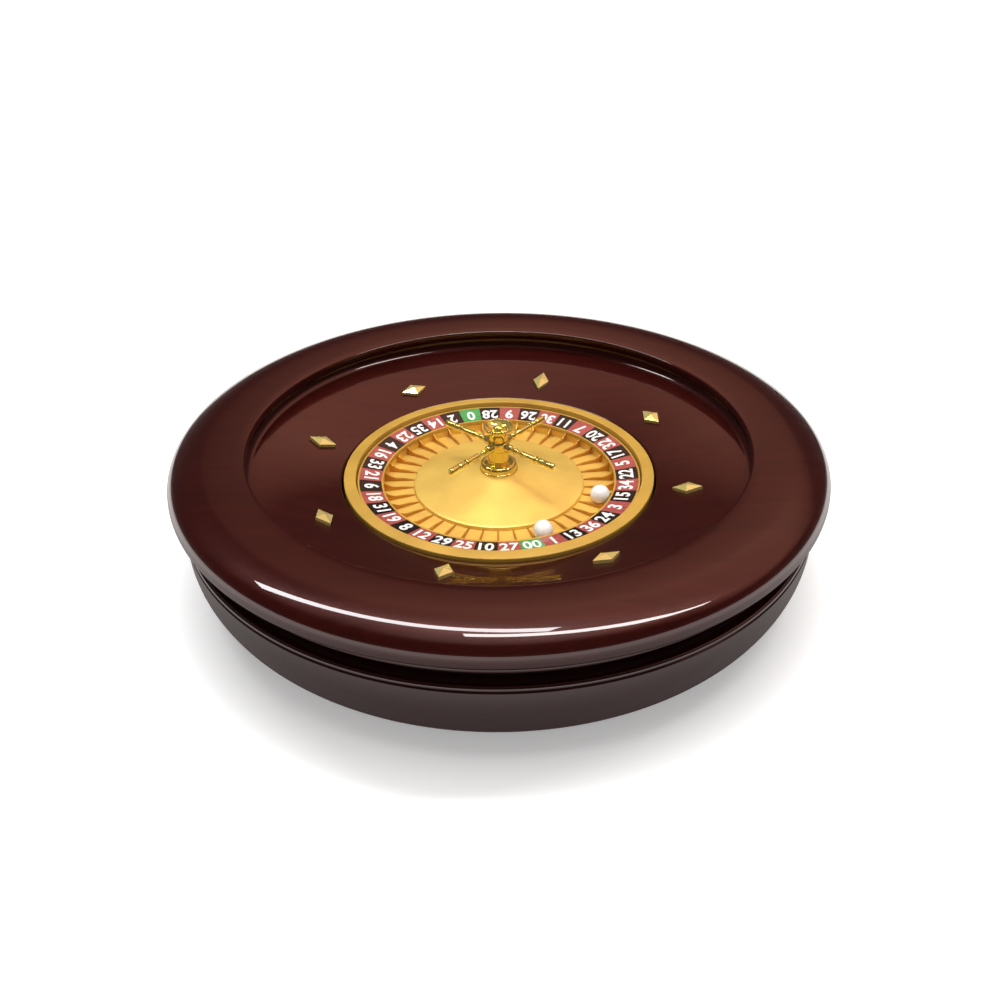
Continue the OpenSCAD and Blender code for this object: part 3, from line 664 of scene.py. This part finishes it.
# cone: spun gold sheet, slightly hollow, rising from the pockets to the turret's foot and
# held down by it
cone_gold = satin_gold("cone_gold", (0.98, 0.64, 0.14), 0.42)
bore_r = 4.2
cone_under = 65.2
cone_edge = (66.5, 72.5)
cone_top = (16.0, 84.0)
cone_round = 0.5
cone_hollow = 0.9
cone_steps = 24
cone_outline = [(20.3, cone_under), (cone_edge[0], cone_under), (cone_edge[0], 71.9), (66.35, 72.3)]
for k in range(cone_steps + 1):
    share = k / cone_steps
    radius = cone_edge[0] - cone_round + (cone_top[0] - cone_edge[0] + cone_round) * share
    height = cone_edge[1] + (cone_top[1] - cone_edge[1]) * share
    cone_outline.append((radius, height - cone_hollow * sin(pi * share) * share))
cone_outline += [(bore_r, cone_top[1]), (bore_r, cone_top[1] - 2), (20.3, 78.7)]
turned_piece("rotor_cone", cone_outline, cone_gold, "rotor", ["cone"], 360)


# turret foot and stem: turned from brass bar and polished, bored for the rod that draws
# the whole turret down on the cone
turret_brass = polished_brass("turret_brass", (0.95, 0.76, 0.2), 0.1, 0.18, 0.82)
rod_r = 4.1
foot_r = 15.0
foot_outline = (
    [(rod_r, cone_top[1]), (foot_r, cone_top[1]), (foot_r, 84.8)]
    + arc((14.2, 84.9), 0.8, 0, 70, 5)
    + arc((11.7, 88.0), 2.6, -18, 118, 14)
    + arc((7.35, 91.3), 2.5, 300, 262, 6)
    + [(7.95, 88.9), (rod_r, 88.9)]
)
turned_piece("turret_foot_turned", foot_outline, turret_brass, "rotor", ["turret_foot"],
             128)
stem_foot = 89.1
collar_foot = 101.7
stem_outline = [(rod_r, stem_foot), (7.85, stem_foot), (7.9, 92.0)] + arc((7.55, 92.6), 0.5, -30, 60, 4)
stem_outline += [(7.62, 95.0), (7.45, 98.0), (7.4, collar_foot), (rod_r, collar_foot)]
turned_piece("turret_stem_turned", stem_outline, turret_brass, "rotor", ["turret_stem"],
             128)


# turret collar: a polished brass drum that stands on the stem, with four tapered bosses,
# into which the arms screw
arm_turns = [radians(49 + 90 * k) for k in range(4)]
arm_height = 105.5


def lay_arm(turn):
    """From the lathe's axis Z to the arm's own line, out from the collar."""
    raise_to_collar = Matrix.Translation((0, 0, arm_height * mm))
    return raise_to_collar @ Matrix.Rotation(turn, 4, "Z") @ Matrix.Rotation(pi / 2, 4, "Y")


collar = bmesh.new()
collar_outline = (
    [(rod_r, collar_foot)]
    + arc((8.0, 102.5), 0.75, -90, 0, 4)
    + arc((8.0, 108.7), 0.75, 0, 90, 4)
    + [(rod_r, 109.45)]
)
spin_outline(collar, collar_outline, 128)
boss_outline = [(axis_r, 5.2), (3.75, 5.2), (3.7, 8.0), (3.45, 11.0), (3.1, 13.1), (2.7, 13.5)]
boss_outline += [(axis_r, 13.5)]
for turn in arm_turns:
    spin_outline(collar, boss_outline, 40, lay_arm(turn), closed=False)
finish_piece(collar, "turret_collar_turned", turret_brass, "rotor", ["turret_collar"])


# turret cup and knob: the flared head of the turret and its domed nut, which screws on the
# rod and closes the cup
cup_foot = 109.5
knob_foot = 117.7
neck_r = 7.2
cup_outline = (
    [(rod_r, cup_foot), (neck_r, cup_foot), (neck_r - 0.1, 112.0)]
    + arc((14.0, 112.3), 6.9, 180, 122, 14)
    + [(11.1, 118.7)]
    + arc((10.9, 121.4), 0.55, 10, 150, 7)
    + [(9.6, 120.9), (8.2, 119.6), (6.8, 118.7), (5.7, 118.2), (5.7, knob_foot), (rod_r, knob_foot)]
)
turned_piece("turret_cup_turned", cup_outline, turret_brass, "rotor", ["turret_cup"], 128)
knob_outline = [(axis_r, knob_foot), (5.5, knob_foot)] + arc((0, 116.8), 5.53, 12, 89.9, 20)
turned_piece("turret_knob", knob_outline, turret_brass, "rotor", ["turret_finial"], 96,
             closed=False)


# arms: four turned brass spokes, each with a bead, a tapered barrel, a ring and an end
# barrel, by which the rotor is spun
arm_outline = (
    [(axis_r, 9.1), (1.55, 9.1), (1.5, 14.6)]
    + arc((0, 17.1), 2.5, -52, 52, 12)
    + [(1.45, 19.6), (1.45, 22.0), (1.7, 22.4), (2.4, 23.8), (2.5, 24.4), (2.05, 36.0)]
    + arc((2.1, 37.0), 0.8, -80, 80, 6)
    + [(1.8, 38.1), (1.7, 39.4), (2.3, 40.0), (2.65, 40.6), (2.7, 44.5), (2.5, 44.9), (2.7, 45.3)]
    + [(2.7, 53.4), (2.5, 54.3), (1.9, 54.9), (axis_r, 55.0)]
)
for number, turn in enumerate(arm_turns, 1):
    spoke = bmesh.new()
    spin_outline(spoke, arm_outline, 48, lay_arm(turn), closed=False)
    finish_piece(spoke, "spoke_%d" % number, turret_brass, "rotor", ["arm_%d" % number])


# loose balls: cast and polished white plastic, scuffed by use, lying in pockets 15 and 1
ivory, ivory_tree, ivory_shader = new_material("ball_ivory", (0.9, 0.89, 0.85), 0.22)
ivory_cloud = noise(ivory_tree, place_in_object(ivory_tree), 150, 3, 0.5)
ivory_colour = blend_colours(ivory_tree, spread(ivory_tree, ivory_cloud, 0.3, 0.7),
                             (0.84, 0.82, 0.76), (0.93, 0.92, 0.89))
ivory_tree.links.new(ivory_colour, ivory_shader.inputs["Base Color"])
marked_roughness(ivory_tree, ivory_shader, 0.18, 0.34)
ivory_shader.inputs["Subsurface Weight"].default_value = 0.2
ivory_shader.inputs["Subsurface Scale"].default_value = 0.003
ivory_shader.inputs["Coat Weight"].default_value = 0.5
ball_r = 7.5
for number, body in ((1, "first_ball"), (2, "second_ball")):
    low, high = (Vector(corner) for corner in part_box("ball_%d" % number))
    sphere = bmesh.new()
    bmesh.ops.create_icosphere(sphere, subdivisions=5, radius=ball_r * mm,
                               matrix=Matrix.Translation((low + high) / 2))
    finish_piece(sphere, "loose_ball_%d" % number, ivory, body, ["ball_%d" % number])


# spindle, bearings and screws inside the bowl: ground steel, and a brass housing pressed
# into the rotor, all CAD nodes with their own shape
steel, steel_tree, steel_shader = new_material("ground_steel", (0.55, 0.56, 0.58), 0.3, 1.0)
steel_lines = noise(steel_tree, place_in_object(steel_tree, (300, 300, 2500)), 1, 2, 0.5)
steel_tone = blend_colours(steel_tree, spread(steel_tree, steel_lines, 0.3, 0.7),
                           (0.46, 0.47, 0.49), (0.62, 0.63, 0.65))
steel_tree.links.new(steel_tone, steel_shader.inputs["Base Color"])
marked_roughness(steel_tree, steel_shader, 0.26, 0.4)
for subpart in frame["record"]["subparts"]:
    if subpart["material_slot"] == "steel":
        redress(frame["nodes"][subpart["node"]], steel)
redress(frame["nodes"]["bearing_housing"], deflector_brass)


# floor: plain white, bright enough to end in white, dark only where the bowl shades it,
# and seen in the lacquer as a glowing pale floor with a painted shadow of the bowl round its foot
floor_material, floor_tree, floor_shader = new_material("white_floor", (0.93, 0.93, 0.93), 0.9)
floor_shader.inputs["Specular IOR Level"].default_value = 0.0
floor_shader.inputs["Emission Color"].default_value = (1, 1, 1, 1)
floor_shader.inputs["Emission Strength"].default_value = 0.27
from_middle = add(floor_tree, "ShaderNodeVectorMath", operation="LENGTH")
floor_tree.links.new(place_in_object(floor_tree), from_middle.inputs[0])
floor_far = spread(floor_tree, from_middle.outputs["Value"], 0.7, 1.6)
far_glow = add(floor_tree, "ShaderNodeEmission")
far_glow.inputs["Strength"].default_value = 1.05
near_or_far = add(floor_tree, "ShaderNodeMixShader")
floor_tree.links.new(floor_far, near_or_far.inputs[0])
floor_tree.links.new(floor_shader.outputs[0], near_or_far.inputs[1])
floor_tree.links.new(far_glow.outputs[0], near_or_far.inputs[2])
# painted shadow: in the lacquer the floor glows, darkened by distance from the middle round the bowl's foot
painted_bowl_shadow = spread(floor_tree, from_middle.outputs["Value"], 0.22, 0.56)
painted_shadow_mirror_colour = blend_colours(floor_tree, painted_bowl_shadow, (0.05, 0.035, 0.035), (1.0, 0.95, 0.92))
mirrored_floor = add(floor_tree, "ShaderNodeEmission")
mirrored_floor.inputs["Strength"].default_value = 1.4
floor_tree.links.new(painted_shadow_mirror_colour, mirrored_floor.inputs["Color"])
floor_path = add(floor_tree, "ShaderNodeLightPath")
floor_seen = add(floor_tree, "ShaderNodeMixShader")
floor_tree.links.new(floor_path.outputs["Is Glossy Ray"], floor_seen.inputs[0])
floor_tree.links.new(near_or_far.outputs[0], floor_seen.inputs[1])
floor_tree.links.new(mirrored_floor.outputs[0], floor_seen.inputs[2])
floor_tree.links.new(floor_seen.outputs[0], floor_tree.nodes["Material Output"].inputs["Surface"])
floor_mesh = bmesh.new()
bmesh.ops.create_grid(floor_mesh, x_segments=1, y_segments=1, size=8)
floor_data = bpy.data.meshes.new("floor")
floor_mesh.to_mesh(floor_data)
floor_mesh.free()
floor_data.materials.append(floor_material)
floor = bpy.data.objects.new("floor", floor_data)
bpy.context.scene.collection.objects.link(floor)


# lamps: a soft ceiling, two long overhead lamps that draw the bright lines on the rim, and
# a weak soft lamp on the camera's side
def area_lamp(name, place, tilt, long, wide, power, colour=(1, 1, 1), in_gloss=True, turn=0.0):
    lamp = bpy.data.objects.new(name, bpy.data.lights.new(name, "AREA"))
    lamp.data.shape = "RECTANGLE"
    lamp.data.size = long
    lamp.data.size_y = wide
    lamp.data.energy = power
    lamp.data.color = colour
    lamp.location = place
    lamp.rotation_euler = (tilt, 0, turn)
    lamp.visible_glossy = in_gloss
    lamp.visible_camera = False
    bpy.context.scene.collection.objects.link(lamp)


area_lamp("ceiling_soft", (0, -0.1, 2.6), 0, 2.2, 2.2, 43, in_gloss=False)
area_lamp("long_lamp_near", (0.64, 0.02, 1.9), -0.01, 1.65, 0.15, 13, (1, 0.98, 0.96))
area_lamp("long_lamp_far", (-0.62, 0.45, 1.9), -0.22, 1.8, 0.19, 16, (0.98, 0.99, 1), turn=-0.24)
area_lamp("front_soft", (0.2, -2.2, 1.5), 0.95, 1.8, 1.0, 7, in_gloss=False)


# room: white to the camera, even grey to the object's colours, and in the lacquer a warm
# wall behind the wheel, with the camera's side and the low part dark
world = bpy.data.worlds.new("room")
bpy.context.scene.world = world
world.use_nodes = True
room = world.node_tree
room.nodes.clear()
direction = add(room, "ShaderNodeTexCoord")
room_split = add(room, "ShaderNodeSeparateXYZ")
room.links.new(direction.outputs["Generated"], room_split.inputs[0])
across_room, into_room, up_room = room_split.outputs
wall = add(room, "ShaderNodeMath", operation="MULTIPLY")
room.links.new(spread(room, up_room, 0.42, 0.6), wall.inputs[0])
room.links.new(spread(room, across_room, -0.3, 0.0), wall.inputs[1])
room_back = blend_colours(room, wall.outputs[0], (0.05, 0.033, 0.031), (0.72, 0.32, 0.225))
room_sides = blend_colours(room, spread(room, into_room, 0.1, -0.4), room_back, (0.022, 0.016, 0.014))
room_tone = blend_colours(room, spread(room, up_room, 0.9, 0.98), room_sides, (0.34, 0.27, 0.23))
in_lacquer = add(room, "ShaderNodeBackground")
room.links.new(room_tone, in_lacquer.inputs["Color"])
even_grey = add(room, "ShaderNodeBackground")
even_grey.inputs["Color"].default_value = (0.36, 0.35, 0.34, 1)
white = add(room, "ShaderNodeBackground")
white.inputs["Color"].default_value = (1, 1, 1, 1)
white.inputs["Strength"].default_value = 1.05
room_path = add(room, "ShaderNodeLightPath")
for_object = add(room, "ShaderNodeMixShader")
room.links.new(room_path.outputs["Is Diffuse Ray"], for_object.inputs[0])
room.links.new(in_lacquer.outputs[0], for_object.inputs[1])
room.links.new(even_grey.outputs[0], for_object.inputs[2])
for_camera = add(room, "ShaderNodeMixShader")
room.links.new(room_path.outputs["Is Camera Ray"], for_camera.inputs[0])
room.links.new(for_object.outputs[0], for_camera.inputs[1])
room.links.new(white.outputs[0], for_camera.inputs[2])
room_out = add(room, "ShaderNodeOutputWorld")
room.links.new(for_camera.outputs[0], room_out.inputs["Surface"])
